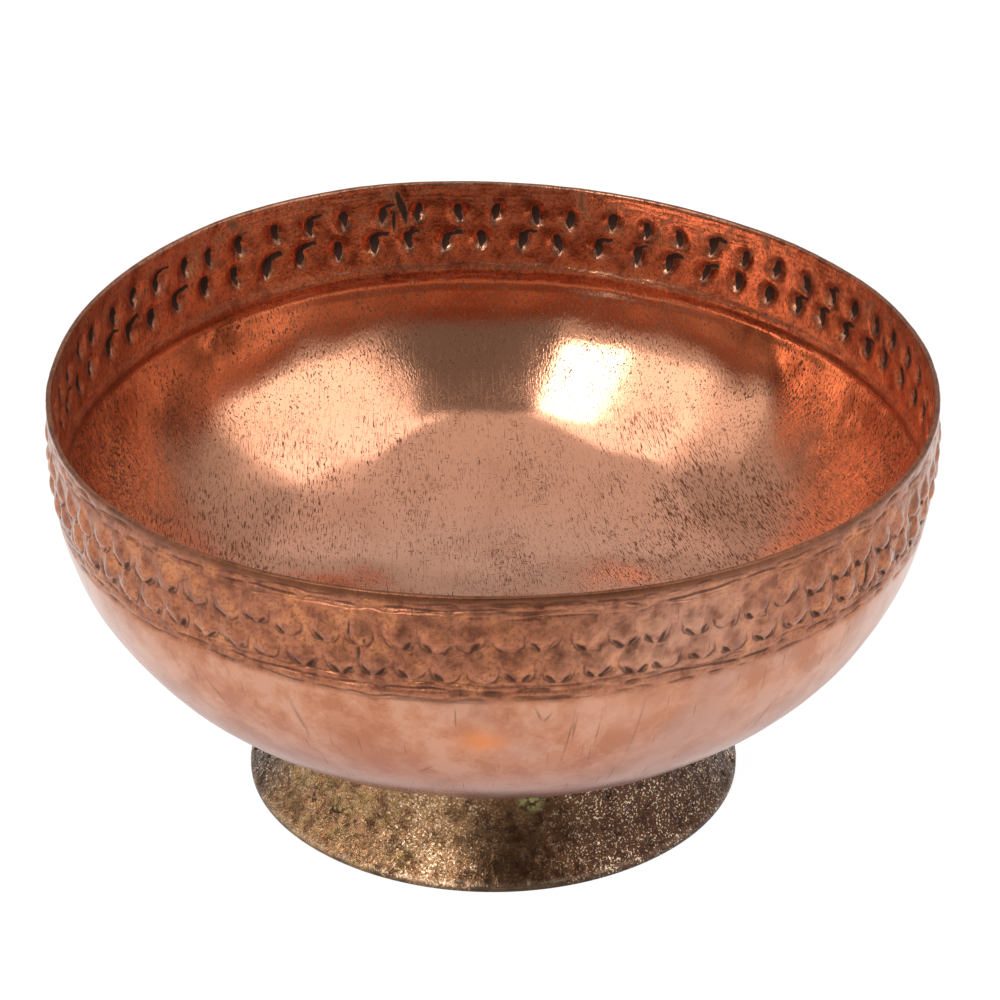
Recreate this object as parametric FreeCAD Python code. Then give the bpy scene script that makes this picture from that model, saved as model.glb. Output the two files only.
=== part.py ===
import FreeCAD, Part
import math
import os

# Footed bowl: one bowl raised from copper sheet, one hollow foot cast in brass, and the run of
# soft solder that joins them. Millimetres, +Z up. The origin is on the table, at the centre of
# the foot's bearing ring. Each piece is a closed half section in the XZ plane, turned about Z.

# Bowl
HEIGHT = 103.2            # table to the top of the rim
RIM_RADIUS = 101.2        # outside of the rim
SHEET = 1.2               # thickness of the copper
RIM_CROWN = 0.35          # how far the filed rim stands above the edges of the sheet
# The outside line from the rim down, as arcs that run into each other: (radius, angle off the
# vertical where the arc ends, in degrees). A last arc, centred on Z, closes the bottom.
WALL_ARCS = ((380.0, 2.8), (60.0, 49.0), (70.0, 74.0))
# Lines chased round the outside above and below the punched border: (height, width, depth).
# Each one pushes the same ridge out of the inside.
CHASED_LINES = ((100.7, 1.2, 0.25), (98.9, 1.4, 0.30), (81.6, 1.2, 0.25), (79.2, 2.4, 0.50))

# Foot
FOOT_RADIUS = 56.8        # outside of the foot, at the table
LIP_HEIGHT = 1.3          # plain upright edge round the bottom
BEARING_WIDTH = 3.8       # ring that stands on the table
SEAT_RADIUS = 47.5        # outside of the neck, where it meets the bowl
NECK_WALL = 3.6           # thickness of the casting at the neck

# Solder
SOLDER_FILM = 0.3         # between the foot's seat and the bowl
OUTER_LEG = 1.5           # legs of the run outside the foot, along the bowl and down the neck
INNER_LEG = 2.2           # legs of the run inside the foot, where the solder was fed in
FILLET_HOLLOW = 0.25      # how far the face of a run is hollowed, as a share of its leg


def section_point(radius, height):
    """A point of a half section."""
    return FreeCAD.Vector(radius, 0, height)


def line(first, last):
    return Part.LineSegment(first, last).toShape()


def arc(first, middle, last):
    return Part.Arc(first, middle, last).toShape()


class Round:
    """An arc of a half section. Angle 0 points away from Z and a right angle points down."""

    def __init__(self, centre_radius, centre_height, radius, start, end):
        self.centre_radius = centre_radius
        self.centre_height = centre_height
        self.radius = radius
        self.start = start
        self.end = end

    def point(self, angle, depth=0.0):
        """The point at an angle, and at a depth in towards the arc's centre."""
        reach = self.radius - depth
        return section_point(
            self.centre_radius + reach * math.cos(angle),
            self.centre_height - reach * math.sin(angle),
        )

    def edge(self, start, end, depth=0.0):
        middle = (start + end) / 2
        return arc(self.point(start, depth), self.point(middle, depth), self.point(end, depth))

    def angle_at_height(self, height):
        return math.asin((self.centre_height - height) / self.radius)

    def angle_at_radius(self, radius, depth=0.0):
        return math.acos((radius - self.centre_radius) / (self.radius - depth))

    def holds_height(self, height):
        return self.point(self.end).z <= height < self.point(self.start).z


def bowl_rounds():
    """The arcs of the bowl's outside line, from the rim to the axis."""
    rounds = []
    at = section_point(RIM_RADIUS, HEIGHT - RIM_CROWN)
    angle = 0.0
    for radius, end_degrees in WALL_ARCS:
        end = math.radians(end_degrees)
        centre_radius = at.x - radius * math.cos(angle)
        centre_height = at.z + radius * math.sin(angle)
        rounds.append(Round(centre_radius, centre_height, radius, angle, end))
        at = rounds[-1].point(end)
        angle = end
    closing_radius = at.x / math.cos(angle)
    closing_height = at.z + closing_radius * math.sin(angle)
    rounds.append(Round(0.0, closing_height, closing_radius, angle, math.pi / 2))
    return rounds


def bowl_skin(rounds, depth):
    """The edges of one face of the sheet, from the rim to the axis, with the chased lines in it."""
    edges = []
    for part in rounds:
        angle = part.start
        for height, width, bite in CHASED_LINES:
            if not part.holds_height(height):
                continue
            upper = part.angle_at_height(height + width / 2)
            middle = part.angle_at_height(height)
            lower = part.angle_at_height(height - width / 2)
            edges.append(part.edge(angle, upper, depth))
            edges.append(arc(
                part.point(upper, depth), part.point(middle, depth + bite), part.point(lower, depth)
            ))
            angle = lower
        edges.append(part.edge(angle, part.end, depth))
    return edges


def turned(edges):
    """The solid that a closed half section makes, turned about Z."""
    wire = Part.Wire(Part.__sortEdges__(edges))
    face = Part.Face(wire)
    shape = face.revolve(FreeCAD.Vector(0, 0, 0), FreeCAD.Vector(0, 0, 1), 360)
    return Part.Solid(shape) if shape.ShapeType == "Shell" else shape


def copper_bowl(rounds):
    """The sheet between its outside and inside faces, closed by the rim and the axis."""
    first = rounds[0]
    last = rounds[-1]
    rim_top = section_point(RIM_RADIUS - SHEET / 2, HEIGHT)
    rim = arc(first.point(0.0), rim_top, first.point(0.0, SHEET))
    centre = line(last.point(last.end), last.point(last.end, SHEET))
    return turned(bowl_skin(rounds, 0.0) + bowl_skin(rounds, SHEET) + [rim, centre])


def flare(top, bottom):
    """The arc of a foot's face: upright at the top, and running out to the bottom."""
    out = bottom.x - top.x
    drop = top.z - bottom.z
    radius = (out * out + drop * drop) / (2 * out)
    return Round(top.x + radius, top.z, radius, math.pi, math.pi - math.asin(drop / radius))


def foot_faces(closing):
    """The outside and inside faces of the foot. Both start at the seat, a film below the bowl."""
    faces = []
    for seat_radius, bottom in (
        (SEAT_RADIUS, section_point(FOOT_RADIUS, LIP_HEIGHT)),
        (SEAT_RADIUS - NECK_WALL, section_point(FOOT_RADIUS - BEARING_WIDTH, 0.0)),
    ):
        seat_angle = closing.angle_at_radius(seat_radius, -SOLDER_FILM)
        faces.append(flare(closing.point(seat_angle, -SOLDER_FILM), bottom))
    return faces


def seat(closing):
    """The foot's dished top, which follows the bottom of the bowl."""
    outer = closing.angle_at_radius(SEAT_RADIUS, -SOLDER_FILM)
    inner = closing.angle_at_radius(SEAT_RADIUS - NECK_WALL, -SOLDER_FILM)
    return closing.edge(outer, inner, -SOLDER_FILM)


def cast_foot(closing):
    outside, inside = foot_faces(closing)
    lip_top = outside.point(outside.end)
    lip_bottom = section_point(FOOT_RADIUS, 0.0)
    return turned([
        seat(closing),
        outside.edge(outside.start, outside.end),
        line(lip_top, lip_bottom),
        line(lip_bottom, inside.point(inside.end)),
        inside.edge(inside.start, inside.end),
    ])


def solder_face(on_bowl, on_foot, corner, leg):
    """The hollow face of a run of solder, between the bowl and the foot."""
    chord_middle = (on_bowl + on_foot) * 0.5
    towards_corner = corner - chord_middle
    towards_corner.normalize()
    return arc(on_bowl, chord_middle + towards_corner * (leg * FILLET_HOLLOW), on_foot)


def solder_seam(closing):
    """The film in the seat with its outer and inner runs, all one piece of solder."""
    outside, inside = foot_faces(closing)
    edges = [seat(closing)]
    ends = []
    for face, leg, side in ((outside, OUTER_LEG, 1), (inside, INNER_LEG, -1)):
        neck_angle = face.start - leg / face.radius
        bowl_angle = closing.angle_at_radius(face.point(face.start).x + side * leg)
        on_bowl = closing.point(bowl_angle)
        edges.append(face.edge(face.start, neck_angle))
        edges.append(solder_face(on_bowl, face.point(neck_angle), face.point(face.start), leg))
        ends.append(bowl_angle)
    edges.append(closing.edge(ends[0], ends[1]))
    return turned(edges)


def main():
    rounds = bowl_rounds()
    closing = rounds[-1]
    pieces = {
        "copper_bowl": copper_bowl(rounds),
        "cast_foot": cast_foot(closing),
        "solder_seam": solder_seam(closing),
    }
    os.makedirs("parts", exist_ok=True)
    for name, shape in pieces.items():
        shape.exportStep(os.path.join("parts", name + ".step"))
        box = shape.optimalBoundingBox(True, False)
        print(name, "valid", shape.isValid(), "solids", len(shape.Solids),
              "cm3", round(shape.Volume / 1000, 3),
              "z", round(box.ZMin, 3), round(box.ZMax, 3), "x", round(box.XMax, 3))
    print("bottom of the bowl at", round(closing.point(closing.end).z, 2),
          "inside depth", round(HEIGHT - closing.point(closing.end, SHEET).z, 2))


main()
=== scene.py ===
import math

import bpy
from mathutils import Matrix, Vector


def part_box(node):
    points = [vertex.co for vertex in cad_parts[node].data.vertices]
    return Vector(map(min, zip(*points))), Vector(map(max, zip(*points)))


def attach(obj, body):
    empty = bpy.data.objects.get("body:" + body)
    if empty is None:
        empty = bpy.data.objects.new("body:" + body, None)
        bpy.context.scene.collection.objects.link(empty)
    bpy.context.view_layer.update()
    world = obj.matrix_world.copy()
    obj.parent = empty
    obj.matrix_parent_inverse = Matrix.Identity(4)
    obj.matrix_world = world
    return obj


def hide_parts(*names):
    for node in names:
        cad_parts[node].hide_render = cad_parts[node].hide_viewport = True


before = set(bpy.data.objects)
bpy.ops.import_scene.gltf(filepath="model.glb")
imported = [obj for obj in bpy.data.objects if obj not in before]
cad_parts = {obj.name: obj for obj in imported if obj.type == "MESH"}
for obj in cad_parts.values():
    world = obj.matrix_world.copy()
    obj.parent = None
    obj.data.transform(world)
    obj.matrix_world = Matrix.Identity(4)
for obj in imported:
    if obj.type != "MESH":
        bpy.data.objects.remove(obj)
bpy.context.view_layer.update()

# A footed copper bowl: a bowl raised from copper sheet with a hammered border, a rough cast brass
# foot, and the run of soft solder between them. Sizes are in millimetres and angles in degrees
# until a mesh is made. Azimuth 0 is +X and azimuth -90 is the front.

MM = 0.001
TURN = 2 * math.pi

# The finished sizes, from the frame
RIM_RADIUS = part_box("copper_bowl")[1].x / MM
RIM_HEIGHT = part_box("copper_bowl")[1].z / MM
FOOT_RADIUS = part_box("cast_foot")[1].x / MM

# Bowl: its outside line from the rim down, as arcs that run into each other (radius, angle off
# the vertical where the arc ends), and a last arc centred on the axis
SHEET = 1.2
THINNEST = 0.3
CROWN_STEP = (0.16, 0.22)
RIM_CROWN = 0.35
WALL_ARCS = ((380.0, 2.8), (60.0, 49.0), (70.0, 74.0))

# Rows and columns of the bowl's mesh, fine over the border and coarse below it
BORDER_DEPTH = 27.7
OUTSIDE_STEP = 0.65
INSIDE_STEP = 1.05
BODY_STEP = 3.2
BORDER_COLUMNS = 1008
# Below the border: down to which radius, and one column for how many of the border's
BODY_SHARES = ((60.0, 4), (28.0, 8), (12.0, 16), (5.0, 48), (0.0, 144))

# The border: two rows of marks, each a boss pushed out from inside with two chisel cuts under it,
# between chased lines. The marks stand closer at the front than at the back.
MARKS = 73
CROWDING = 1.2
LOWER_ROW = 86.2
ROW_PITCH = 7.1
ROW_SHIFT = 0.3
CELL_FOOT = 4.2
PIT_LIFT = 2.0
# height, half width of the tool's edge, share of the full depth
CHASED_LINES = (
    (101.0, 0.40, 0.8),
    (99.5, 0.42, 1.0),
    (98.2, 0.30, 0.6),
    (82.0, 0.34, 0.7),
    (80.5, 0.42, 1.0),
    (78.6, 0.36, 0.8),
)
# The ledge that the lower lines leave inside: height and half width of its crest and of its foot
LEDGE = ((80.4, 1.3), (77.6, 1.5))
# Blows that went astray: azimuth, height, half length, half width, lean off the upright
STRAY_BLOWS = (
    (-107.2, 92.6, 3.2, 0.40, 6.0),
    (-105.4, 92.4, 3.0, 0.35, -9.0),
    (-106.2, 88.0, 2.4, 0.40, -2.0),
    (-36.5, 92.5, 2.6, 0.45, -14.0),
    (-37.5, 87.0, 3.2, 0.40, 10.0),
    (-35.0, 84.0, 2.4, 0.35, 6.0),
    (103.3, 97.0, 4.6, 0.85, 17.0),
    (104.5, 93.5, 2.6, 0.45, -6.0),
    (22.0, 90.0, 3.6, 0.45, 8.0),
    (-168.0, 92.0, 3.4, 0.50, -10.0),
)
# Dents in the wall: azimuth, height, half width, depth
WALL_DENTS = (
    (44.0, 68.0, 6.0, 0.60),
    (35.0, 60.0, 8.0, -0.45),
    (24.0, 68.0, 7.0, 0.40),
    (152.0, 66.0, 7.0, 0.45),
    (168.0, 62.0, 9.0, 0.40),
)
# Scratches on the outside of the body: azimuth, height, half length, half width, lean
SCORES = (
    (-80.7, 66.5, 7.0, 0.22, 8.0),
    (-80.0, 69.5, 3.5, 0.20, 6.0),
    (-72.0, 66.0, 8.0, 0.22, 7.0),
    (-77.0, 68.0, 5.0, 0.18, 5.0),
    (-99.0, 56.0, 2.2, 0.22, 50.0),
    (-115.0, 67.0, 5.0, 0.50, -16.0),
    (-84.5, 74.0, 1.8, 0.32, -22.0),
    (-83.4, 73.2, 1.4, 0.30, 34.0),
    (-128.0, 68.0, 4.5, 0.35, -30.0),
    (-51.0, 60.0, 5.5, 0.24, 14.0),
)

# The copper's colours
SALMON = (0.84, 0.40, 0.255, 1.0)
DUSTY_PINK = (0.57, 0.25, 0.145, 1.0)
RED_BROWN = (0.50, 0.20, 0.115, 1.0)
# Inside walls: darker copper on the sides is painted shade, lighter copper at the front and back is
# painted light, both standing in for the walls' reflections
SIDE_WALL_SHADED_COPPER = (0.37, 0.205, 0.135, 1.0)
FRONT_BACK_LIT_COPPER = (0.92, 0.42, 0.24, 1.0)
# WALL_BROWN: painted shade streaked down the side walls inside
WALL_BROWN = (0.24, 0.095, 0.052, 1.0)
BORDER_BROWN = (0.41, 0.142, 0.070, 1.0)
DARK_BROWN = (0.14, 0.048, 0.030, 1.0)
ORANGE = (0.84, 0.34, 0.14, 1.0)
DEEP_ORANGE = (0.72, 0.23, 0.075, 1.0)
PALE_COPPER = (0.68, 0.38, 0.27, 1.0)
FLOOR_PINK = (0.70, 0.44, 0.325, 1.0)
# WALL_SHADE_BROWN: painted shade, laid over bright reflections on the inside walls
WALL_SHADE_BROWN = (0.13, 0.050, 0.028, 1.0)
# EDGE_SHEEN: a painted sheen, the pale reflection of the table on the outside's edges
EDGE_SHEEN = (0.72, 0.58, 0.52, 1.0)
SPECK_BROWN = (0.085, 0.032, 0.018, 1.0)
WALL_SPECK = (0.04, 0.017, 0.011, 1.0)
LILAC = (0.44, 0.24, 0.195, 1.0)
# RIM_SHADE_BROWN: painted shade, the dark room reflected in the rolled rim
RIM_SHADE_BROWN = (0.14, 0.050, 0.024, 1.0)
# LOW_SHADE_BROWN: painted shade on the lower outside, where the table under the bowl lies in shadow
LOW_SHADE_BROWN = (0.22, 0.062, 0.046, 1.0)
OLD_BROWN = (0.022, 0.011, 0.009, 1.0)

# Stains on the outside of the copper, and patches of painted shade on the inside walls: azimuth,
# height, half width, half height, strength, colour
OUTSIDE_STAINS = (
    (-91.5, 67.0, 5.5, 3.2, 0.95, DEEP_ORANGE),
    (-106.0, 62.0, 9.0, 7.0, 0.8, BORDER_BROWN),
    (-60.0, 64.0, 16.0, 5.0, 0.45, LILAC),
    (-74.0, 72.0, 14.0, 4.0, 0.5, PALE_COPPER),
    (-66.0, 90.0, 22.0, 12.0, 0.55, PALE_COPPER),
)
# Dark patches on the inside walls: painted shade over reflections of the softboxes
INSIDE_SHADE_PATCHES = (
    (40.0, 71.0, 9.0, 7.0, 0.9, WALL_SHADE_BROWN),
    (50.0, 76.0, 9.0, 4.0, 0.6, WALL_SHADE_BROWN),
    (19.0, 74.0, 10.0, 7.0, 0.5, WALL_SHADE_BROWN),
    (133.0, 74.0, 12.0, 8.0, 0.9, WALL_SHADE_BROWN),
    (155.0, 73.0, 14.0, 9.0, 0.6, WALL_SHADE_BROWN),
    (27.0, 69.0, 9.0, 9.0, 0.9, WALL_SHADE_BROWN),
    (145.0, 62.0, 9.0, 9.0, 0.6, WALL_SHADE_BROWN),
    (30.0, 55.0, 11.0, 6.0, 0.4, WALL_SHADE_BROWN),
)

# Waves of the rim, where the sheet has sprung: how many round the bowl, height, azimuth of a crest
RIM_WAVES = ((0, 0.36, 0.0), (1, 0.76, 134.5), (2, 1.54, -70.8), (3, 0.66, 13.6))
RIM_WAVE_FROM = 52.0

# Foot and solder
FOOT_COLUMNS = 720
FOOT_ROWS_OUTSIDE = 56
FOOT_ROWS_INSIDE = 20
SOLDER_ROWS = 7
LIP_HEIGHT = 1.3
LIP_EDGE = 0.25
BEARING_WIDTH = 3.8
SEAT_RADIUS = 47.5
NECK_WALL = 3.6
SOLDER_FILM = 0.3
OUTER_LEG = 1.5
INNER_LEG = 2.2

# The studio, in metres: how far the softboxes stand from the bowl's middle, and how high that is
LIGHT_DISTANCE = 1.4
MIDDLE_OF_BOWL = 0.06
# How bright the tent is, as a share of a white page
TENT = 0.5
# name, azimuth, elevation, width and height in metres, brightness
SOFTBOXES = (
    ("softbox_left", -134.0, 40.0, 1.15, 1.12, 1.12),
    ("softbox_left_core", -120.0, 37.0, 0.42, 0.90, 5.0),
    ("softbox_right", -30.0, 40.0, 1.30, 1.16, 1.15),
    ("fill_left", -170.0, 38.0, 0.45, 0.95, 0.45),
    ("fill_right", 4.0, 52.0, 0.40, 0.65, 0.35),
    ("ceiling", 90.0, 90.0, 1.9, 1.9, 0.16),
)
# name, left, right, front, top, glow
CARDS = (
    ("gap_for_camera", -0.25, 0.43, -0.72, 1.24, 0.13),
    ("grey_flag", -0.11, 0.11, -0.22, 0.05, 0.5),
)

# The camera, in metres: its place as seen from a point over the middle of the foot, and its aim
LENS = 141.1
CAMERA_ELEVATION = 30.5
CAMERA_DISTANCE = 0.916
CAMERA_CENTRE = 0.0509
CAMERA_AIM = (0.0016, 0.0087, 0.0656)


class Value:
    """A number, vector or colour that flows through a node tree. Operators add Math nodes."""

    def __init__(self, bench, socket):
        self.bench = bench
        self.socket = socket

    def maths(self, operation, *others):
        return self.bench.node("ShaderNodeMath", {"operation": operation}, (self,) + others)

    def __add__(self, other):
        return self.maths("ADD", other)

    def __radd__(self, other):
        return self.maths("ADD", other)

    def __sub__(self, other):
        return self.maths("SUBTRACT", other)

    def __rsub__(self, other):
        return self.bench.node("ShaderNodeMath", {"operation": "SUBTRACT"}, (other, self))

    def __mul__(self, other):
        return self.maths("MULTIPLY", other)

    def __rmul__(self, other):
        return self.maths("MULTIPLY", other)

    def __truediv__(self, other):
        return self.maths("DIVIDE", other)

    def __rtruediv__(self, other):
        return self.bench.node("ShaderNodeMath", {"operation": "DIVIDE"}, (other, self))

    def __pow__(self, other):
        return self.maths("POWER", other)

    def __abs__(self):
        return self.maths("ABSOLUTE")

    def larger(self, other):
        return self.maths("MAXIMUM", other)

    def hill(self, centre, width):
        """1 where the value is centre, falling away on both sides like a bell."""
        off = (self - centre) / width
        return (off * off * -1.0).maths("EXPONENT")

    def ramp(self, low, high):
        """0 at low and 1 at high, eased at both ends. High may be the smaller number."""
        settings = {"interpolation_type": "SMOOTHSTEP"}
        if isinstance(low, Value) or low < high:
            return self.bench.node("ShaderNodeMapRange", settings, (self, low, high, 0.0, 1.0))
        return self.bench.node("ShaderNodeMapRange", settings, (self, high, low, 1.0, 0.0))


class Bench:
    """A node tree and the one method that adds to it."""

    def __init__(self, tree):
        self.tree = tree

    def node(self, kind, settings, inputs, output=0):
        """Adds a node, sets it, then gives its inputs values or links. Returns one output."""
        node = self.tree.nodes.new(kind)
        for name, value in settings.items():
            setattr(node, name, value)
        pairs = inputs.items() if isinstance(inputs, dict) else enumerate(inputs)
        for key, value in pairs:
            if isinstance(value, Value):
                self.tree.links.new(value.socket, node.inputs[key])
            else:
                node.inputs[key].default_value = value
        return Value(self, node.outputs[output])

    def number(self, value):
        return self.node("ShaderNodeMath", {"operation": "ADD"}, (value, 0.0))

    def join(self, x, y, z):
        return self.node("ShaderNodeCombineXYZ", {}, (x, y, z))

    def split(self, vector):
        node = self.node("ShaderNodeSeparateXYZ", {}, (vector,)).socket.node
        return [Value(self, socket) for socket in node.outputs]

    def stretch(self, vector, scales):
        """The vector times a number along each axis."""
        return self.node("ShaderNodeVectorMath", {"operation": "MULTIPLY"}, (vector, scales))

    def shift(self, vector, other):
        return self.node("ShaderNodeVectorMath", {"operation": "ADD"}, (vector, other))

    def noise(self, vector, size, detail=2.0, roughness=0.5, seed=0.0):
        """Cloudy noise from 0 to 1, whose clouds are about size across."""
        moved = self.shift(vector, (seed * 37.0, seed * 11.0, seed * 23.0))
        inputs = {"Vector": moved, "Scale": 1.0 / size, "Detail": detail, "Roughness": roughness}
        return self.node("ShaderNodeTexNoise", {"noise_dimensions": "3D"}, inputs)

    def drift(self, vector, size, amount, seed):
        """A vector that wanders by up to about the amount along each axis."""
        moved = self.shift(vector, (seed * 37.0, seed * 11.0, seed * 23.0))
        inputs = {"Vector": moved, "Scale": 1.0 / size, "Detail": 1.0, "Roughness": 0.5}
        settings = {"noise_dimensions": "3D"}
        colour = self.node("ShaderNodeTexNoise", settings, inputs, output=1)
        return self.stretch(self.shift(colour, (-0.5, -0.5, -0.5)), (2.0 * amount,) * 3)

    def rolls(self, number, seed):
        """Three numbers from 0 to 1 that are drawn once for each whole number."""
        settings = {"noise_dimensions": "1D"}
        drawn = self.node("ShaderNodeTexWhiteNoise", settings, {"W": number + seed}, output=1)
        return self.split(drawn)

    def blend(self, factor, first, second):
        """A colour between two colours."""
        settings = {"data_type": "RGBA"}
        return self.node("ShaderNodeMix", settings, {0: factor, 6: first, 7: second}, output=2)


class ShapeBench(Bench):
    """A bench for a geometry tree, with named sizes that its modifier sets."""

    def __init__(self, name):
        super().__init__(bpy.data.node_groups.new(name, "GeometryNodeTree"))
        self.sizes = {}
        sockets = self.tree.interface
        sockets.new_socket("Geometry", in_out="INPUT", socket_type="NodeSocketGeometry")
        sockets.new_socket("Geometry", in_out="OUTPUT", socket_type="NodeSocketGeometry")
        self.entry = self.tree.nodes.new("NodeGroupInput")
        self.blank = Value(self, self.entry.outputs[0])

    def size(self, name, value):
        """A named input of the tree."""
        sockets = self.tree.interface
        socket = sockets.new_socket(name, in_out="INPUT", socket_type="NodeSocketFloat")
        socket.default_value = value
        self.sizes[socket.identifier] = value
        return Value(self, self.entry.outputs[name])

    def attribute(self, name):
        return self.node("GeometryNodeInputNamedAttribute", {"data_type": "FLOAT"}, {"Name": name})

    def store(self, geometry, name, value):
        settings = {"data_type": "FLOAT", "domain": "POINT"}
        inputs = {"Geometry": geometry, "Name": name, "Value": value}
        return self.node("GeometryNodeStoreNamedAttribute", settings, inputs)

    def position(self):
        """The position in millimetres."""
        here = self.node("GeometryNodeInputPosition", {}, ())
        return self.stretch(here, (1 / MM, 1 / MM, 1 / MM))

    def move(self, geometry, offset):
        """The geometry with each point moved by an offset in millimetres."""
        metres = self.stretch(offset, (MM, MM, MM))
        return self.node("GeometryNodeSetPosition", {}, {"Geometry": geometry, "Offset": metres})

    def finish(self, geometry, piece, material):
        """Ends the tree, runs it on the piece and keeps the result as the piece's plain mesh."""
        real = self.node("GeometryNodeRealizeInstances", {}, (geometry,))
        inputs = {"Geometry": real, "Material": material}
        dressed = self.node("GeometryNodeSetMaterial", {}, inputs)
        way_out = self.tree.nodes.new("NodeGroupOutput")
        self.tree.links.new(dressed.socket, way_out.inputs[0])
        modifier = piece.modifiers.new(self.tree.name, "NODES")
        modifier.node_group = self.tree
        for identifier, value in self.sizes.items():
            modifier[identifier] = value
        depsgraph = bpy.context.evaluated_depsgraph_get()
        shaped = piece.evaluated_get(depsgraph)
        mesh = bpy.data.meshes.new_from_object(
            shaped, preserve_all_data_layers=True, depsgraph=depsgraph
        )
        piece.modifiers.remove(modifier)
        blank = piece.data
        piece.data = mesh
        bpy.data.meshes.remove(blank)
        mesh.name = piece.name


class Round:
    """An arc of a half section. Angle 0 points away from the axis and a right angle down."""

    def __init__(self, centre_radius, centre_height, radius, start, end):
        self.centre_radius = centre_radius
        self.centre_height = centre_height
        self.radius = radius
        self.start = start
        self.end = end
        self.length = radius * abs(end - start)

    def point(self, angle, depth=0.0):
        reach = self.radius - depth
        return (
            self.centre_radius + reach * math.cos(angle),
            self.centre_height - reach * math.sin(angle),
        )

    def point_along(self, length, depth=0.0):
        return self.point(self.start + (self.end - self.start) * length / self.length, depth)

    def angle_at_radius(self, radius, depth=0.0):
        return math.acos((radius - self.centre_radius) / (self.radius - depth))


def bowl_rounds():
    """The arcs of the bowl's outside line, from the rim to the axis."""
    rounds = []
    radius_at, height_at, angle = RIM_RADIUS, RIM_HEIGHT - RIM_CROWN, 0.0
    for radius, end_degrees in WALL_ARCS:
        end = math.radians(end_degrees)
        centre_radius = radius_at - radius * math.cos(angle)
        centre_height = height_at + radius * math.sin(angle)
        rounds.append(Round(centre_radius, centre_height, radius, angle, end))
        radius_at, height_at = rounds[-1].point(end)
        angle = end
    closing_radius = radius_at / math.cos(angle)
    closing_height = height_at + closing_radius * math.sin(angle)
    rounds.append(Round(0.0, closing_height, closing_radius, angle, math.pi / 2))
    return rounds


class Ring:
    """One row of a turned mesh: its radius and height, its columns, and which face it is on."""

    def __init__(self, radius, height, columns, inside):
        self.radius = radius
        self.height = height
        self.columns = columns
        self.inside = inside


def stitch(first, second):
    """The faces between two rings of vertex numbers, one with a whole multiple of the other's."""
    if len(first) == len(second):
        count = len(first)
        return [
            (first[i], first[(i + 1) % count], second[(i + 1) % count], second[i])
            for i in range(count)
        ]
    fine, coarse = (first, second) if len(first) > len(second) else (second, first)
    share = len(fine) // len(coarse)
    faces = []
    for c in range(len(coarse)):
        left, right = coarse[c], coarse[(c + 1) % len(coarse)]
        steps = [fine[(c * share + i) % len(fine)] for i in range(share + 1)]
        middle = share // 2
        for i in range(share):
            faces.append((steps[i], steps[i + 1], left if i < middle else right))
        if left != right:
            faces.append((steps[middle], right, left))
    if fine is second:
        faces = [face[::-1] for face in faces]
    return faces


def turned_piece(name, rings, closed):
    """A piece made of rings round the axis. A ring of one column is a point on the axis."""
    points, heights, insides, numbers = [], [], [], []
    for ring in rings:
        numbers.append(range(len(points), len(points) + ring.columns))
        for column in range(ring.columns):
            angle = TURN * column / ring.columns
            across, along = math.cos(angle) * ring.radius, math.sin(angle) * ring.radius
            points.append((across * MM, along * MM, ring.height * MM))
        heights += [ring.height] * ring.columns
        insides += [ring.inside] * ring.columns
    faces = []
    for first, second in zip(numbers, numbers[1:] + numbers[:1] if closed else numbers[1:]):
        faces += stitch(first, second)
    mesh = bpy.data.meshes.new(name)
    mesh.from_pydata(points, [], faces)
    for attribute, values in (("height", heights), ("inside", insides)):
        mesh.attributes.new(attribute, "FLOAT", "POINT").data.foreach_set("value", values)
    mesh.shade_smooth()
    piece = bpy.data.objects.new(name, mesh)
    bpy.context.scene.collection.objects.link(piece)
    return piece


def body_columns(radius):
    """Fewer columns nearer the axis, each a whole share of the last."""
    for least, share in BODY_SHARES:
        if radius > least:
            return BORDER_COLUMNS // share


def wall_rings(rounds, step, depth, inside):
    """The rings of one face of the bowl's sheet, from below the rim to the axis."""
    total = sum(part.length for part in rounds)
    spots = []
    along = step
    while along < total - BODY_STEP / 2:
        spots.append(along)
        along += step if along < BORDER_DEPTH else BODY_STEP
    rings = []
    for along in spots:
        left = along
        for part in rounds:
            if left <= part.length:
                break
            left -= part.length
        radius, height = part.point_along(left, depth)
        columns = BORDER_COLUMNS
        if along > BORDER_DEPTH + step + BODY_STEP:
            columns = body_columns(radius)
        elif along > BORDER_DEPTH + step:
            columns = BORDER_COLUMNS // 2
        rings.append(Ring(radius, height, columns, inside))
    rings.append(Ring(0.0, rounds[-1].point(math.pi / 2, depth)[1], 1, inside))
    return rings


def bowl_blank(rounds):
    """The plain turned bowl, before it is hammered: up the outside, over the rim, down inside."""
    edge_height = RIM_HEIGHT - RIM_CROWN
    step_in, step_up = CROWN_STEP
    crown = (
        Ring(RIM_RADIUS, edge_height, BORDER_COLUMNS, 0.0),
        Ring(RIM_RADIUS - step_in, edge_height + step_up, BORDER_COLUMNS, 0.25),
        Ring(RIM_RADIUS - SHEET / 2, RIM_HEIGHT, BORDER_COLUMNS, 0.5),
        Ring(RIM_RADIUS - SHEET + step_in, edge_height + step_up, BORDER_COLUMNS, 0.75),
        Ring(RIM_RADIUS - SHEET, edge_height, BORDER_COLUMNS, 1.0),
    )
    outside = wall_rings(rounds, OUTSIDE_STEP, 0.0, 0.0)
    inside = wall_rings(rounds, INSIDE_STEP, SHEET, 1.0)
    return turned_piece("copper_bowl_raised", outside[::-1] + list(crown) + inside, False)


def along_rim(turn, azimuth):
    """How far a place is from an azimuth, in millimetres round the rim."""
    return (turn - azimuth / 360.0) * (TURN * RIM_RADIUS)


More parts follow.
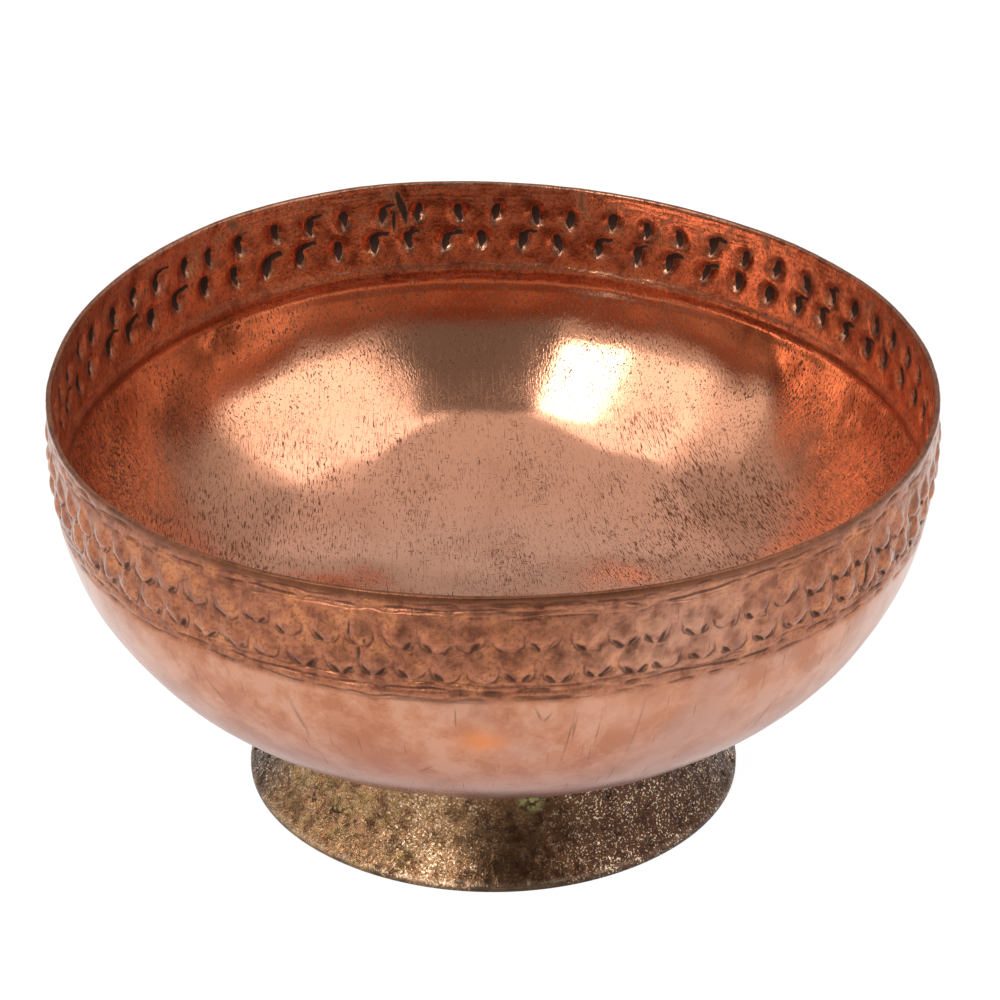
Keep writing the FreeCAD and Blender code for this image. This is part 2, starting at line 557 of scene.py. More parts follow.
def chased_lines(bench, x, y, height):
    """How deep the chased lines are at a place: each wanders up and down and comes and goes."""
    round_bowl = bench.join(x, y, 0.0)
    wander = bench.split(bench.drift(round_bowl, 10.0, 1.5, 31.0))
    force = bench.split(bench.drift(round_bowl, 6.5, 1.6, 32.0))
    deepest = bench.number(0.0)
    for count, (middle, half_width, share) in enumerate(CHASED_LINES):
        off = wander[count % 3] * (1.0 if count < 3 else -1.0)
        line = (height - off).hill(middle, half_width)
        deepest = deepest.larger(line * (force[(count + 1) % 3] + 0.75).ramp(0.0, 1.0) * share)
    return deepest


def stroke(across, up, place, size, lean):
    """One chisel cut: its middle, its half length and half width, and its lean off the upright."""
    over = math.sin(math.radians(lean))
    upright = math.cos(math.radians(lean))
    across = across - place[0]
    up = up - place[1]
    along = across * over + up * upright
    aside = across * upright - up * over
    return along.hill(0.0, size[0]) * aside.hill(0.0, size[1])


def marks(bench, turn, height, inside):
    """How much of a boss, a chiselled groove and a punched pit is at a place, in two rows."""
    level = (height - inside * PIT_LIFT - (LOWER_ROW - CELL_FOOT)) / ROW_PITCH
    row = level.maths("FLOOR")
    front = (turn + 0.25) * TURN
    place = turn * MARKS + front.maths("SINE") * CROWDING + row * ROW_SHIFT
    pitch = TURN * RIM_RADIUS / (front.maths("COSINE") * (CROWDING * TURN) + MARKS)
    index = place.maths("FLOOR")
    number = index.maths("FLOORED_MODULO", MARKS) + row * 200.0
    off, lift, left_roll = bench.rolls(number, 100.0)
    tilt, right_roll, hook_roll = bench.rolls(number, 100.37)
    up = (level - row) * ROW_PITCH - CELL_FOOT - (lift - 0.5) * 1.2
    across = (place - index - 0.5) * pitch - (off - 0.5) * 1.5 + up * (tilt - 0.5) * 0.4
    within = (abs(place - index - 0.5)).ramp(0.5, 0.42) * (abs(level - 1.0)).ramp(1.02, 0.98)

    round_off = ((across / 3.5) ** 2 + ((up + 0.2) / 3.6) ** 2).maths("SQRT")
    boss = round_off.ramp(1.1, 0.15)
    left_cut = stroke(across, up, (-1.55, -2.7), (1.6, 0.55), -42.0) * left_roll.ramp(0.0, 0.55)
    right_cut = stroke(across, up, (1.45, -2.7), (1.7, 0.55), 40.0) * right_roll.ramp(0.1, 0.75)
    outline = round_off.hill(1.02, 0.15) * (up.ramp(3.5, -3.0) * 0.36 + 0.12)
    groove = left_cut.larger(right_cut).larger(outline) * up.ramp(-4.2, -3.4)

    taper = up * 0.16 + 1.15
    punch = ((across / taper) ** 2 + ((up + 0.3) / 2.4) ** 2).maths("SQRT").ramp(1.30, 0.60)
    from_side = across + 2.6
    bend = (from_side ** 2 + (up - 0.1) ** 2).maths("SQRT")
    hook = bend.hill(2.4, 0.7) * up.ramp(-0.2, 1.1) * from_side.ramp(-2.4, 0.4)
    pit = punch.larger(hook * (hook_roll - row * 0.30).ramp(0.35, 0.50))
    pit = pit * (left_roll * 0.35 + 0.65) * (1.0 - row * 0.12)
    return boss * within, groove * within, pit * within


def border_place(bench, here, height, sway):
    """Where a place is in the pattern of the border: round the bowl, and up, both a little bent."""
    x, y, _ = bench.split(here)
    aside, _, rise = bench.split(bench.drift(here, 2.4, 0.7, 4.0))
    turn = y.maths("ARCTAN2", x) / TURN + (sway * 2.5 + aside) / (TURN * RIM_RADIUS)
    return turn, height + sway * 1.4 + rise


def stray_blows(bench, turn, height):
    """How deep the blows that went astray are at a place."""
    deepest = bench.number(0.0)
    for azimuth, middle, half_length, half_width, lean in STRAY_BLOWS:
        across = along_rim(turn, azimuth)
        blow = stroke(across, height - middle, (0.0, 0.0), (half_length, half_width), lean)
        deepest = deepest.larger(blow)
    return deepest


def hammered_bowl(material):
    """The copper bowl: the turned blank, sprung, planished, chased and punched."""
    bench = ShapeBench("hammered_bowl")
    piece = bowl_blank(bowl_rounds())
    wave_size = bench.size("Rim wave", 1.0)
    planish_size = bench.size("Planishing, mm", 0.9)
    dent_size = bench.size("Small dents, mm", 0.3)
    hammer_size = bench.size("Hammer marks, mm", 0.34)
    boss_size = bench.size("Boss, mm", 0.75)
    groove_size = bench.size("Groove, mm", 1.0)
    pit_size = bench.size("Pit, mm", 0.75)
    line_size = bench.size("Chased line, mm", 0.6)
    ledge_size = bench.size("Ledge inside, mm", 0.45)

    here = bench.position()
    x, y, _ = bench.split(here)
    turn = y.maths("ARCTAN2", x) / TURN
    height = bench.attribute("height")
    inside = bench.attribute("inside")
    sway = bench.noise(here, 30.0, seed=3.0) - 0.5
    bent_turn, bent_height = border_place(bench, here, height, sway)
    boss, groove, _ = marks(bench, bent_turn, bent_height, 0.0)
    boss_inside, _, pit = marks(bench, bent_turn, bent_height, 1.0)
    lines = chased_lines(bench, x, y, height)
    strays = stray_blows(bench, bent_turn, height)
    mottle = bench.noise(here, 4.5, 3.0, 0.65, seed=16.0)

    planish = (bench.noise(here, 34.0, 1.0, seed=1.0) - 0.5) * planish_size
    dents = (bench.noise(here, 11.0, 1.0, seed=2.0) - 0.5) * dent_size
    for azimuth, middle, half_width, depth in WALL_DENTS:
        across = along_rim(turn, azimuth)
        dents = dents + across.hill(0.0, half_width) * height.hill(middle, half_width) * depth
    band = height.ramp(76.0, 80.5)
    hammered = (mottle - 0.5) * band * hammer_size
    (ledge_top, ledge_rise), (ledge_foot, ledge_fall) = LEDGE
    ledge = height.hill(ledge_top, ledge_rise) - height.hill(ledge_foot, ledge_fall) * 0.6
    shared = planish + dents + hammered
    outer = boss * boss_size - groove.larger(strays * 0.7) * groove_size - lines * line_size
    inner = boss_inside * boss_size + (strays * groove_size * 0.5).larger(pit * pit_size)
    inner = inner + lines * line_size * 0.12 - ledge * ledge_size
    # a pit from inside never comes through the outside, however deep the cut in front of it
    outer = outer.larger(inner - (SHEET - THINNEST))
    out = shared + outer * (1.0 - inside) + inner * inside

    normal = bench.node("GeometryNodeInputNormal", {}, ())
    facing = 1.0 - inside * 2.0
    outward = bench.node(
        "ShaderNodeVectorMath", {"operation": "SCALE"}, {0: normal, "Scale": facing * out}
    )
    wave = bench.number(0.0)
    for count, rise, crest in RIM_WAVES:
        phase = turn * (TURN * count) - math.radians(crest) * count
        wave = wave + phase.maths("COSINE") * rise
    lift = wave * wave_size * height.ramp(RIM_WAVE_FROM, RIM_HEIGHT)
    shaped = bench.move(bench.blank, bench.shift(outward, bench.join(0.0, 0.0, lift)))

    shaped = bench.store(shaped, "sway", sway)
    shaped = bench.store(shaped, "strays", strays)
    shaped = bench.store(shaped, "mottle", mottle)
    shaped = bench.store(shaped, "patches", bench.noise(here, 26.0, 3.0, 0.55, seed=11.0))
    shaped = bench.store(shaped, "flush", bench.noise(here, 30.0, 2.0, seed=12.0))
    shaped = bench.store(shaped, "crowd", bench.noise(here, 16.0, 2.0, 0.6, seed=14.0))
    bench.finish(shaped, piece, material)
    return piece


def flare(top, bottom):
    """The arc of a foot's face: upright at the top, and running out to the bottom."""
    out = bottom[0] - top[0]
    drop = top[1] - bottom[1]
    radius = (out * out + drop * drop) / (2 * out)
    return Round(top[0] + radius, top[1], radius, math.pi, math.pi - math.asin(drop / radius))


def foot_faces(closing):
    """The outside and inside faces of the foot. Both start at the seat, a film below the bowl."""
    faces = []
    for seat_radius, bottom in (
        (SEAT_RADIUS, (FOOT_RADIUS, LIP_HEIGHT)),
        (SEAT_RADIUS - NECK_WALL, (FOOT_RADIUS - BEARING_WIDTH, 0.0)),
    ):
        seat_angle = closing.angle_at_radius(seat_radius, -SOLDER_FILM)
        faces.append(flare(closing.point(seat_angle, -SOLDER_FILM), bottom))
    return faces


def round_rings(part, count, columns, inside):
    """Rings along an arc, from its start, with both ends."""
    return [
        Ring(*part.point_along(part.length * i / count), columns, inside)
        for i in range(count + 1)
    ]


def cast_foot(material):
    """The foot as it left the sand: pitted and lumpy outside, with a lip filed flat."""
    outside, inside = foot_faces(bowl_rounds()[-1])
    rings = [Ring(FOOT_RADIUS - LIP_EDGE, 0.0, FOOT_COLUMNS, 0.0)]
    for share in (0.12, 0.4, 0.7):
        rings.append(Ring(FOOT_RADIUS, LIP_HEIGHT * share, FOOT_COLUMNS, 0.0))
    rings += round_rings(outside, FOOT_ROWS_OUTSIDE, FOOT_COLUMNS, 0.0)[::-1]
    rings += round_rings(inside, FOOT_ROWS_INSIDE, FOOT_COLUMNS // 2, 1.0)
    piece = turned_piece("cast_foot_fettled", rings, True)

    bench = ShapeBench("sand_casting")
    lump_size = bench.size("Lumps, mm", 1.1)
    grain_size = bench.size("Grain, mm", 0.42)
    pit_size = bench.size("Blowholes, mm", 0.5)
    spread_size = bench.size("Out of round, mm", 1.3)
    here = bench.position()
    x, y, height = bench.split(here)
    free = height.ramp(0.3, 2.6) * (height.ramp(25.5, 22.0) * 0.8 + 0.2)
    lumps = (bench.noise(here, 7.0, 2.0, seed=5.0) - 0.5) * lump_size
    grain = (bench.noise(here, 1.6, 2.0, 0.6, seed=6.0) - 0.5) * grain_size
    holes = bench.noise(here, 2.6, 1.0, seed=7.0).ramp(0.60, 0.72)
    azimuth = y.maths("ARCTAN2", x) * (180 / math.pi)
    worn = azimuth.hill(-140.0, 26.0)
    rough = 1.0 - azimuth.hill(-90.0, 13.0) * 0.7
    out = (lumps * (worn * 0.8 + 0.5) + (grain - holes * pit_size) * rough) * free
    normal = bench.node("GeometryNodeInputNormal", {}, ())
    offset = bench.node("ShaderNodeVectorMath", {"operation": "SCALE"}, {0: normal, "Scale": out})
    reach = (x * x + y * y).maths("SQRT")
    sideways = (x / reach) ** 2
    spread = sideways * sideways * spread_size * height.ramp(24.0, 6.0)
    sprung = bench.join(x / reach * spread, y / reach * spread, 0.0)
    shaped = bench.move(bench.blank, bench.shift(offset, sprung))
    shaped = bench.store(shaped, "hollow", holes)
    shaped = bench.store(shaped, "grain", grain / grain_size.larger(0.01) + 0.5)
    bench.finish(shaped, piece, material)
    return piece


def solder_run(on_bowl, on_foot, corner, leg, inside):
    """The rings of a run's hollow face, from the bowl to the foot."""
    middle = ((on_bowl[0] + on_foot[0]) / 2, (on_bowl[1] + on_foot[1]) / 2)
    to_corner = (corner[0] - middle[0], corner[1] - middle[1])
    reach = math.hypot(*to_corner)
    rings = []
    for i in range(SOLDER_ROWS + 1):
        share = i / SOLDER_ROWS
        hollow = leg * 0.25 * math.sin(math.pi * share) / reach
        rings.append(Ring(
            on_bowl[0] + (on_foot[0] - on_bowl[0]) * share + to_corner[0] * hollow,
            on_bowl[1] + (on_foot[1] - on_bowl[1]) * share + to_corner[1] * hollow,
            FOOT_COLUMNS, inside,
        ))
    return rings


def solder_seam(material):
    """The run of soft solder: the film in the seat, with a lumpy run on each side of it."""
    closing = bowl_rounds()[-1]
    runs = []
    for face, leg, side in zip(foot_faces(closing), (OUTER_LEG, INNER_LEG), (1, -1)):
        top = face.point(face.start)
        neck = face.point(face.start - leg / face.radius)
        on_bowl = closing.point(closing.angle_at_radius(top[0] + side * leg))
        runs.append(solder_run(on_bowl, neck, top, leg, (1 - side) / 2))
    piece = turned_piece("solder_seam_run", runs[0] + runs[1][::-1], True)
    flip_faces_if_inside_out(piece)

    bench = ShapeBench("run_of_solder")
    lump_size = bench.size("Lumps, mm", 1.2)
    here = bench.position()
    lumps = (bench.noise(here, 4.0, 2.0, seed=8.0) - 0.42) * lump_size
    normal = bench.node("GeometryNodeInputNormal", {}, ())
    offset = bench.node("ShaderNodeVectorMath", {"operation": "SCALE"}, {0: normal, "Scale": lumps})
    shaped = bench.move(bench.blank, offset)
    bench.finish(shaped, piece, material)
    return piece


def flip_faces_if_inside_out(piece):
    """Turns the faces round if they enclose a negative volume."""
    mesh = piece.data
    volume = 0.0
    for face in mesh.polygons:
        a, *rest = [mesh.vertices[i].co for i in face.vertices]
        for b, c in zip(rest, rest[1:]):
            volume += a.dot(b.cross(c))
    if volume < 0:
        mesh.flip_normals()


def new_material(name):
    material = bpy.data.materials.new(name)
    material.use_nodes = True
    material.node_tree.nodes.clear()
    return material, Bench(material.node_tree)


def surface_attribute(bench, name):
    settings = {"attribute_type": "GEOMETRY", "attribute_name": name}
    return bench.node("ShaderNodeAttribute", settings, (), output=2)


def finish_material(bench, principled):
    output = bench.tree.nodes.new("ShaderNodeOutputMaterial")
    bench.tree.links.new(principled.socket, output.inputs["Surface"])


def object_place(bench):
    """The place on the piece, in millimetres."""
    place = bench.node("ShaderNodeTexCoord", {}, (), output=3)
    return bench.stretch(place, (1 / MM, 1 / MM, 1 / MM))


class CopperFace:
    """What the copper's finish goes by: the place on the bowl and the clouds stored there."""

    def __init__(self, bench):
        self.bench = bench
        self.here = object_place(bench)
        self.x, self.y, _ = bench.split(self.here)
        self.turn = self.y.maths("ARCTAN2", self.x) / TURN
        self.height = surface_attribute(bench, "height")
        self.inside = surface_attribute(bench, "inside")
        self.outside = 1.0 - self.inside
        self.mottle = surface_attribute(bench, "mottle")
        self.patches = surface_attribute(bench, "patches").ramp(0.46, 0.66)
        self.fine = bench.noise(self.here, 0.9, 2.0, 0.7, seed=17.0)
        self.band = self.height.ramp(76.5, 79.5)
        self.back = abs(self.y).ramp(15.0, 70.0)
        self.on_wall = self.height.ramp(46.0, 58.0)


def metal_colour(face):
    """The copper with its mottled border, with dark streaks and painted shade and painted light on
    the inside walls, and painted shade low on the outside, before stains, painted shade, specks and
    soot.
    """
    bench, height, mottle, band = face.bench, face.height, face.mottle, face.band
    inside, outside = face.inside, face.outside
    clouds = bench.noise(face.here, 9.0, 5.0, 0.68, seed=27.0)
    flush = surface_attribute(bench, "flush").ramp(0.52, 0.72)
    # Dark brown vertical streaks on the side walls inside, fading towards the front and back:
    # painted shade for the dark reflections on those walls
    streaks = bench.noise(bench.stretch(face.here, (0.8, 0.8, 0.07)), 1.0, 2.0, 0.6, seed=18.0)
    film = streaks.ramp(0.46, 0.58) * inside * height.ramp(40.0, 60.0)
    # painted shade on the side walls inside, painted light on the front and back walls
    lit_and_shaded_walls = bench.blend(face.back, SIDE_WALL_SHADED_COPPER, FRONT_BACK_LIT_COPPER)

    colour = bench.blend(inside, DUSTY_PINK, SALMON)
    for amount, tint in (
        (face.patches * 0.3, RED_BROWN),
        (clouds.ramp(0.50, 0.60) * outside * 0.55, BORDER_BROWN),
        (clouds.ramp(0.50, 0.40) * outside * 0.45, PALE_COPPER),
        (flush * outside * 0.5, LILAC),
        # darker towards the bottom of the outside: painted shade
        (height.ramp(68.0, 42.0) * outside * 0.65, LOW_SHADE_BROWN),
        (inside * height.ramp(30.0, 58.0) * 0.8, lit_and_shaded_walls),
        (height.ramp(36.0, 26.0) * inside * 0.35, FLOOR_PINK),
        (film * (0.60 - face.back * 0.60), WALL_BROWN),
        (band * inside * 0.75, RED_BROWN),
        (band * outside * 0.8, BORDER_BROWN),
        (mottle.ramp(0.50, 0.66) * band * 0.4, ORANGE),
        (mottle.ramp(0.50, 0.34) * band * 0.55, DARK_BROWN),
        (face.fine.ramp(0.48, 0.64) * band * 0.45, DARK_BROWN),
    ):
        colour = bench.blend(amount, colour, tint)
    return colour


def stained_and_shaded(face, colour):
    """The colour with the stains outside and the patches of painted shade inside, each in one
    place, and the painted shade under the rim.
    """
    broken_up = face.mottle.ramp(0.24, 0.56)
    for side, stains in ((face.outside, OUTSIDE_STAINS), (face.inside, INSIDE_SHADE_PATCHES)):
        for azimuth, middle, half_width, half_height, strength, tint in stains:
            across = along_rim(face.turn, azimuth).hill(0.0, half_width)
            stain_and_shade = across * face.height.hill(middle, half_height) * side * broken_up
            colour = face.bench.blend(stain_and_shade * strength, colour, tint)
    # Brown along the outside just under the rim, most at the front and back: painted shade for the
    # dark room the rim reflects
    rim = face.height.ramp(100.2, 102.2) * (1.0 - abs(face.x).ramp(45.0, 95.0) * 0.55)
    return face.bench.blend(rim * face.outside * 0.85, colour, RIM_SHADE_BROWN)


def corrosion_specks(face, leaning):
    """Fine dark specks inside: dashes in lanes on the floor, and grit on the wall."""
    bench, x, y = face.bench, face.x, face.y
    dashes = bench.noise(bench.stretch(leaning, (4.8, 0.5, 0.6)), 1.0, 1.0, 0.6, seed=13.0)
    cross = bench.noise(bench.stretch(face.here, (0.6, 3.4, 2.6)), 1.0, 1.0, 0.6, seed=19.0)
    gouges = bench.noise(bench.stretch(leaning, (1.9, 0.32, 0.4)), 1.0, 2.0, 0.6, seed=20.0)
    lanes = bench.noise(bench.stretch(leaning, (0.30, 0.035, 0.035)), 1.0, 2.0, 0.6, seed=31.0)
    crowd = surface_attribute(bench, "crowd") - 0.5
    crowd = crowd + (lanes - 0.5) * x.ramp(-20.0, 30.0) * 0.6
    specks = (dashes + crowd * 0.3 + abs(x + 12.0).ramp(20.0, 62.0) * 0.055).ramp(0.63, 0.665)
    specks = specks.larger((cross + crowd * 0.2 + y.ramp(-10.0, -60.0) * 0.07).ramp(0.69, 0.72))
    specks = specks.larger((gouges + crowd * 0.15).ramp(0.68, 0.71))
    grit = bench.noise(bench.stretch(face.here, (2.6, 2.6, 0.5)), 1.0, 1.0, 0.6, seed=22.0)
    grit = (grit + crowd * 0.25 - face.back * 0.04).ramp(0.57, 0.62)
    specks = specks * (1.0 - face.on_wall) + grit * face.on_wall
    return specks * face.inside * (1.0 - face.band * 0.45)


def soot_in_cuts(face, lines, leaning):
    """Black left where a polishing cloth misses: in cuts, lines, scratches and rubs."""
    bench, height, inside, outside = face.bench, face.height, face.inside, face.outside
    sway = surface_attribute(bench, "sway")
    bent_turn, bent_height = border_place(bench, face.here, height, sway)
    _, groove, pit = marks(bench, bent_turn, bent_height, inside)
    strays = surface_attribute(bench, "strays")
    cuts = (groove * outside).larger(pit * inside).larger(strays)

    strokes = bench.noise(bench.stretch(leaning, (3.4, 0.12, 0.12)), 1.0, 2.0, 0.6, seed=15.0)
    scratches = strokes.ramp(0.60, 0.68) * inside * height.ramp(68.0, 58.0)
    scores = bench.number(0.0)
    for azimuth, middle, half_length, half_width, lean in SCORES:
        across = along_rim(face.turn, azimuth)
        score = stroke(across, height - middle, (0.0, 0.0), (half_length, half_width), lean)
        scores = scores.larger(score)
    scores = scores * outside * (face.mottle.ramp(0.36, 0.58) * 0.8 + 0.2)
    upright = bench.join(face.turn * (TURN * RIM_RADIUS * 1.6), height * 0.09, 0.0)
    rubs = bench.noise(upright, 1.0, 1.0, 0.5, seed=28.0).ramp(0.68, 0.76) * outside
    smear = face.mottle.ramp(0.50, 0.70) * face.band * inside * height.ramp(88.0, 100.0)

    soot = cuts.ramp(0.15 - inside * 0.08, 0.62 - inside * 0.17) * (0.76 + inside * 0.2)
    soot = soot.larger(lines.ramp(0.30, 0.95) * (0.6 - inside * 0.35))
    soot = soot.larger(smear * 0.6).larger(scratches * 0.3)
    return soot.larger(rubs * 0.35).larger(scores * 0.42)


def copper_material():
    """Old copper: polished and pitted inside, dull outside, brown and mottled round the border."""
    material, bench = new_material("aged_copper")
    face = CopperFace(bench)
    height, inside, outside, band = face.height, face.inside, face.outside, face.band
    lines = chased_lines(bench, face.x, face.y, height)
    leaning = bench.node(
        "ShaderNodeVectorRotate", {"rotation_type": "Z_AXIS"},
        {"Vector": face.here, "Angle": face.x.ramp(-30.0, 40.0) * -0.36},
    )
    specks = corrosion_specks(face, leaning)
    soot = soot_in_cuts(face, lines, leaning)

    colour = stained_and_shaded(face, metal_colour(face))
    # Paler where the outside turns away from the view: a painted reflection of the white table
    facing = bench.node("ShaderNodeLayerWeight", {}, {"Blend": 0.5}, output=1)
    painted_edge_sheen = facing.ramp(0.60, 0.98) * height.ramp(52.0, 76.0) * outside
    colour = bench.blend(painted_edge_sheen * 0.75, colour, EDGE_SHEEN)
    colour = bench.blend(specks * 0.88, colour, bench.blend(face.on_wall, SPECK_BROWN, WALL_SPECK))
    colour = bench.blend(soot, colour, OLD_BROWN)

    comb = bench.noise(bench.stretch(face.here, (2.0, 2.0, 0.09)), 1.0, 2.0, 0.6, seed=33.0)
    combed = height.ramp(44.0, 60.0) * inside * (1.0 - face.back * 0.8)
    relief = face.fine * (0.010 + band * 0.09) - lines * (0.28 - inside * 0.24)
    relief = relief + comb * combed * 0.16
    bump = bench.node("ShaderNodeBump", {}, {"Strength": 0.9, "Distance": MM, "Height": relief})
    rough = 0.11 + face.patches * 0.05 + band * 0.10 + outside * 0.16
    worn_sides = (face.y.ramp(-25.0, -65.0) * 0.3).larger(abs(face.x).ramp(52.0, 84.0) * 0.12)
    rough = rough + worn_sides * inside
    dull = soot.larger(specks * 0.6)
    rough = rough + dull * (0.6 - rough)
    principled = bench.node("ShaderNodeBsdfPrincipled", {}, {
        "Base Color": colour,
        "Metallic": 1.0 - dull * 0.85,
        "Specular IOR Level": 0.15,
        "Roughness": rough,
        "Normal": bump,
    })
    finish_material(bench, principled)
    return material


def brass_material():
    """Sand-cast brass gone brown, with painted glints on its grains, a painted highlight along its
    lip, and painted shade along its bottom edge.
    """
    material, bench = new_material("rough_cast_brass")
    here = object_place(bench)
    x, y, z = bench.split(here)
    hollow = surface_attribute(bench, "hollow")
    grain = surface_attribute(bench, "grain")
    azimuth = y.maths("ARCTAN2", x) * (180 / math.pi)

    brown = (0.054, 0.022, 0.011, 1.0)
    violet_brown = (0.074, 0.031, 0.022, 1.0)
    mid_brown = (0.27, 0.135, 0.062, 1.0)
    ochre = (0.34, 0.22, 0.075, 1.0)
    orange_brown = (0.60, 0.31, 0.14, 1.0)
    gold = (0.90, 0.62, 0.33, 1.0)
    pale_gold = (1.0, 0.78, 0.55, 1.0)
    black = (0.025, 0.016, 0.012, 1.0)
    green = (0.33, 0.37, 0.12, 1.0)

    crumbs = bench.noise(here, 0.55, 2.0, 0.65, seed=21.0)
    worn = azimuth.hill(-138.0, 28.0)
    smooth = azimuth.hill(-83.0, 16.0)
    # where the light from the left is reflected on the foot: a painted highlight
    painted_glint_zone = azimuth.hill(-107.0, 9.0)
    patches = bench.noise(here, 4.0, 5.0, 0.7, seed=23.0)
    worn = worn * azimuth.ramp(-172.0, -150.0)
    # the worn side, together with the painted highlight zone
    left = worn.larger(painted_glint_zone * 0.6)
    colour = bench.blend(azimuth.ramp(-80.0, -50.0) * 0.7, brown, violet_brown)
    colour = bench.blend(left * 0.75, colour, mid_brown)
    colour = bench.blend(patches.ramp(0.34, 0.60) * (left * 0.8 + 0.1), colour, orange_brown)
    ochre_patches = bench.noise(here, 6.0, 2.0, seed=32.0).ramp(0.48, 0.60) * worn
    colour = bench.blend(ochre_patches * 0.6, colour, ochre)
    veins = abs(bench.noise(here, 2.4, 3.0, 0.65, seed=30.0) - 0.5).ramp(0.040, 0.0)
    colour = bench.blend(veins * left * patches.ramp(0.40, 0.55) * 0.75, colour, gold)
    # Pale gold on the grain tips and a line along the lip: painted glints and a painted highlight,
    # stronger on the left
    tips = (crumbs * 0.75 + grain * 0.25 + painted_glint_zone * 0.02).ramp(0.555, 0.605) * (1.0 - smooth * 0.9)
    lip = z.hill(1.7, 0.4) * bench.noise(here, 3.0, seed=24.0).ramp(0.30, 0.55)
    tips = tips * (patches.ramp(0.36, 0.56) * 0.75 + 0.25)
    painted_glints = (tips * (0.85 - worn * 0.45)).larger(lip * (0.12 + left * 0.25))
    colour = bench.blend(painted_glints, colour, pale_gold)
    crack = abs(bench.noise(here, 10.0, 3.0, 0.7, seed=29.0) - 0.5).ramp(0.012, 0.003)
    crack = crack * worn * z.hill(9.0, 4.0)
    deep = (crumbs.ramp(0.42, 0.32) * (0.75 - smooth * 0.5)).larger(hollow * (0.5 - left * 0.35))
    # darker towards the bottom edge of the lip: painted shade where the foot stands on the table;
    # the rest is dirt in hollows, blowholes and cracks
    deep = deep.larger(crack * 0.9).larger(z.ramp(1.3, 0.7) * 0.55)
    colour = bench.blend(deep, colour, black)
    crust = azimuth.hill(-80.0, 2.6) * z.hill(18.5, 1.6)
    crust = crust.larger(bench.noise(here, 8.0, seed=25.0).ramp(0.66, 0.74) * z.ramp(19.0, 23.0))
    crust = crust * bench.noise(here, 1.8, 2.0, seed=26.0).ramp(0.40, 0.50)
    colour = bench.blend(crust * 0.9, colour, green)

    relief = crumbs * (0.17 - smooth * 0.11) + (veins * 0.22 + patches * 0.9) * worn
    relief = relief - crack * 0.4 + crust * 0.2
    bump = bench.node("ShaderNodeBump", {}, {"Strength": 1.0, "Distance": MM, "Height": relief})
    principled = bench.node("ShaderNodeBsdfPrincipled", {}, {
        "Base Color": colour,
        "Metallic": (1.0 - deep * 0.6) * (1.0 - crust),
        "Roughness": 0.34 - painted_glints * 0.16 + crust * 0.4 + deep * 0.2 - smooth * 0.06,
        "Normal": bump,
    })
    finish_material(bench, principled)
    return material


def solder_material():
    """Dull grey solder with brown and green flux on it."""
    material, bench = new_material("soft_solder")
    here = object_place(bench)
    grey = (0.20, 0.17, 0.14, 1.0)
    brown = (0.09, 0.05, 0.03, 1.0)
    green = (0.25, 0.30, 0.12, 1.0)
    colour = bench.blend(bench.noise(here, 5.0, 3.0, seed=31.0).ramp(0.42, 0.58), grey, brown)
    crust = bench.noise(here, 6.0, 2.0, seed=32.0).ramp(0.56, 0.66)
    colour = bench.blend(crust, colour, green)
    relief = bench.noise(here, 1.2, 3.0, 0.6, seed=33.0) * 0.3
    bump = bench.node("ShaderNodeBump", {}, {"Strength": 0.8, "Distance": MM, "Height": relief})
    principled = bench.node("ShaderNodeBsdfPrincipled", {}, {
        "Base Color": colour,
        "Metallic": 0.7 - crust * 0.7,
        "Roughness": 0.5 + crust * 0.35,
        "Normal": bump,
    })
    finish_material(bench, principled)
    return material


def aim(holder, target):
    """Turns a light or camera to look at a point, upright."""
    holder.rotation_euler = (Vector(target) - holder.location).to_track_quat("-Z", "Y").to_euler()


def sky_point(azimuth, elevation, distance):
    """A point as seen from the middle of the bowl, in metres."""
    level = distance * math.cos(math.radians(elevation))
    return Vector((
        level * math.cos(math.radians(azimuth)),
        level * math.sin(math.radians(azimuth)),
        MIDDLE_OF_BOWL + distance * math.sin(math.radians(elevation)),
    ))


def softbox(name, azimuth, elevation, width, height, brightness):
    """A flat white light that stands round the bowl and is turned to it. Sizes in metres."""
    light = bpy.data.lights.new(name, "AREA")
    light.shape = "RECTANGLE"
    light.size = width
    light.size_y = height
    light.energy = brightness * math.pi * width * height
    holder = bpy.data.objects.new(name, light)
    holder.location = sky_point(azimuth, elevation, LIGHT_DISTANCE)
    aim(holder, (0, 0, MIDDLE_OF_BOWL))
    bpy.context.scene.collection.objects.link(holder)


def stage_card(name, corners, grey, glow, seen):
    """A flat card that is part of the studio. It glows a little, so that it is evenly lit."""
    mesh = bpy.data.meshes.new(name)
    mesh.from_pydata(corners, [], [(0, 1, 2, 3)])
    card = bpy.data.objects.new(name, mesh)
    bpy.context.scene.collection.objects.link(card)
    material, bench = new_material(name + "_finish")
    principled = bench.node("ShaderNodeBsdfPrincipled", {}, {
        "Base Color": (grey, grey, grey, 1.0),
        "Roughness": 0.9,
        "Emission Color": (1.0, 1.0, 1.0, 1.0),
        "Emission Strength": glow,
    })
    finish_material(bench, principled)
    mesh.materials.append(material)
    card.visible_camera = seen


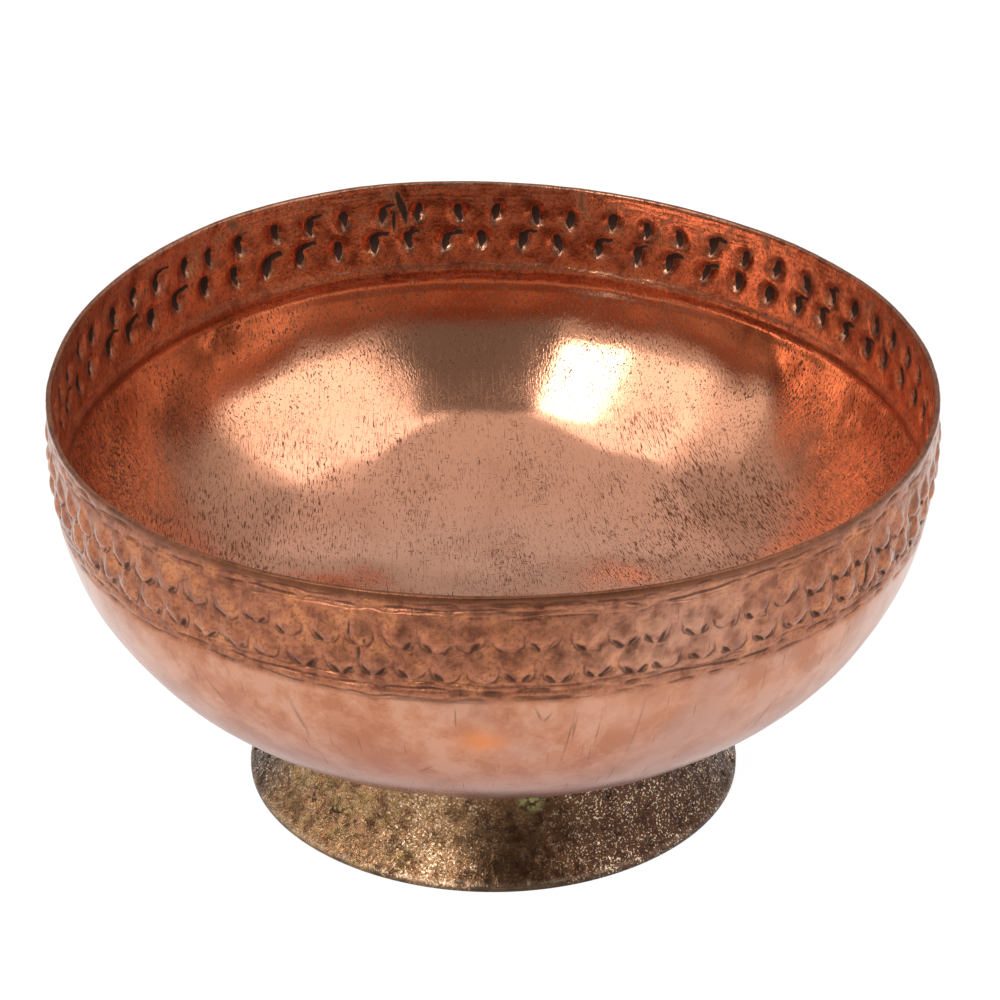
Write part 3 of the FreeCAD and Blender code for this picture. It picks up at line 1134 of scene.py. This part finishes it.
def upright_card(name, left, right, front, top, glow):
    """A dark card that stands on the table, hidden from the camera but not from the bowl."""
    corners = [(left, front, 0.0), (right, front, 0.0), (right, front, top), (left, front, top)]
    stage_card(name, corners, 0.02, glow, False)


def studio():
    """A white table in a pale tent, with a softbox each side of the dark gap for the camera."""
    size, below = 4.0, -0.02 * MM
    table = [(-size, -size, below), (size, -size, below), (size, size, below), (-size, size, below)]
    stage_card("table_top", table, 0.10, 0.95, True)
    for box in SOFTBOXES:
        softbox(*box)
    for card in CARDS:
        upright_card(*card)
    world = bpy.data.worlds.new("studio_tent")
    world.use_nodes = True
    bench = Bench(world.node_tree)
    bench.tree.nodes.clear()
    seen_directly = bench.node("ShaderNodeLightPath", {}, ())
    background = bench.node("ShaderNodeBackground", {}, {
        "Color": (1.0, 1.0, 1.0, 1.0),
        "Strength": TENT + seen_directly * (1.0 - TENT),
    })
    output = bench.tree.nodes.new("ShaderNodeOutputWorld")
    bench.tree.links.new(background.socket, output.inputs["Surface"])
    bpy.context.scene.world = world
    bpy.context.scene.view_settings.view_transform = "Standard"


def camera():
    """Stands in front of the bowl and above it, and looks at a point just over its middle."""
    lens = bpy.data.cameras.new("camera")
    lens.sensor_width = 36.0
    lens.lens = LENS
    lens.clip_start = 0.01
    holder = bpy.data.objects.new("camera", lens)
    elevation = math.radians(CAMERA_ELEVATION)
    holder.location = (
        0.0,
        -CAMERA_DISTANCE * math.cos(elevation),
        CAMERA_CENTRE + CAMERA_DISTANCE * math.sin(elevation),
    )
    aim(holder, CAMERA_AIM)
    bpy.context.scene.collection.objects.link(holder)
    bpy.context.scene.camera = holder


def main():
    camera()
    studio()
    pieces = (
        (hammered_bowl(copper_material()), "copper_bowl", "copper"),
        (cast_foot(brass_material()), "cast_foot", "cast_brass"),
        (solder_seam(solder_material()), "solder_seam", "solder"),
    )
    for piece, node, slot in pieces:
        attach(piece, "root")
        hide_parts(node)
        print(piece.name, "triangles", sum(len(p.vertices) - 2 for p in piece.data.polygons))


main()
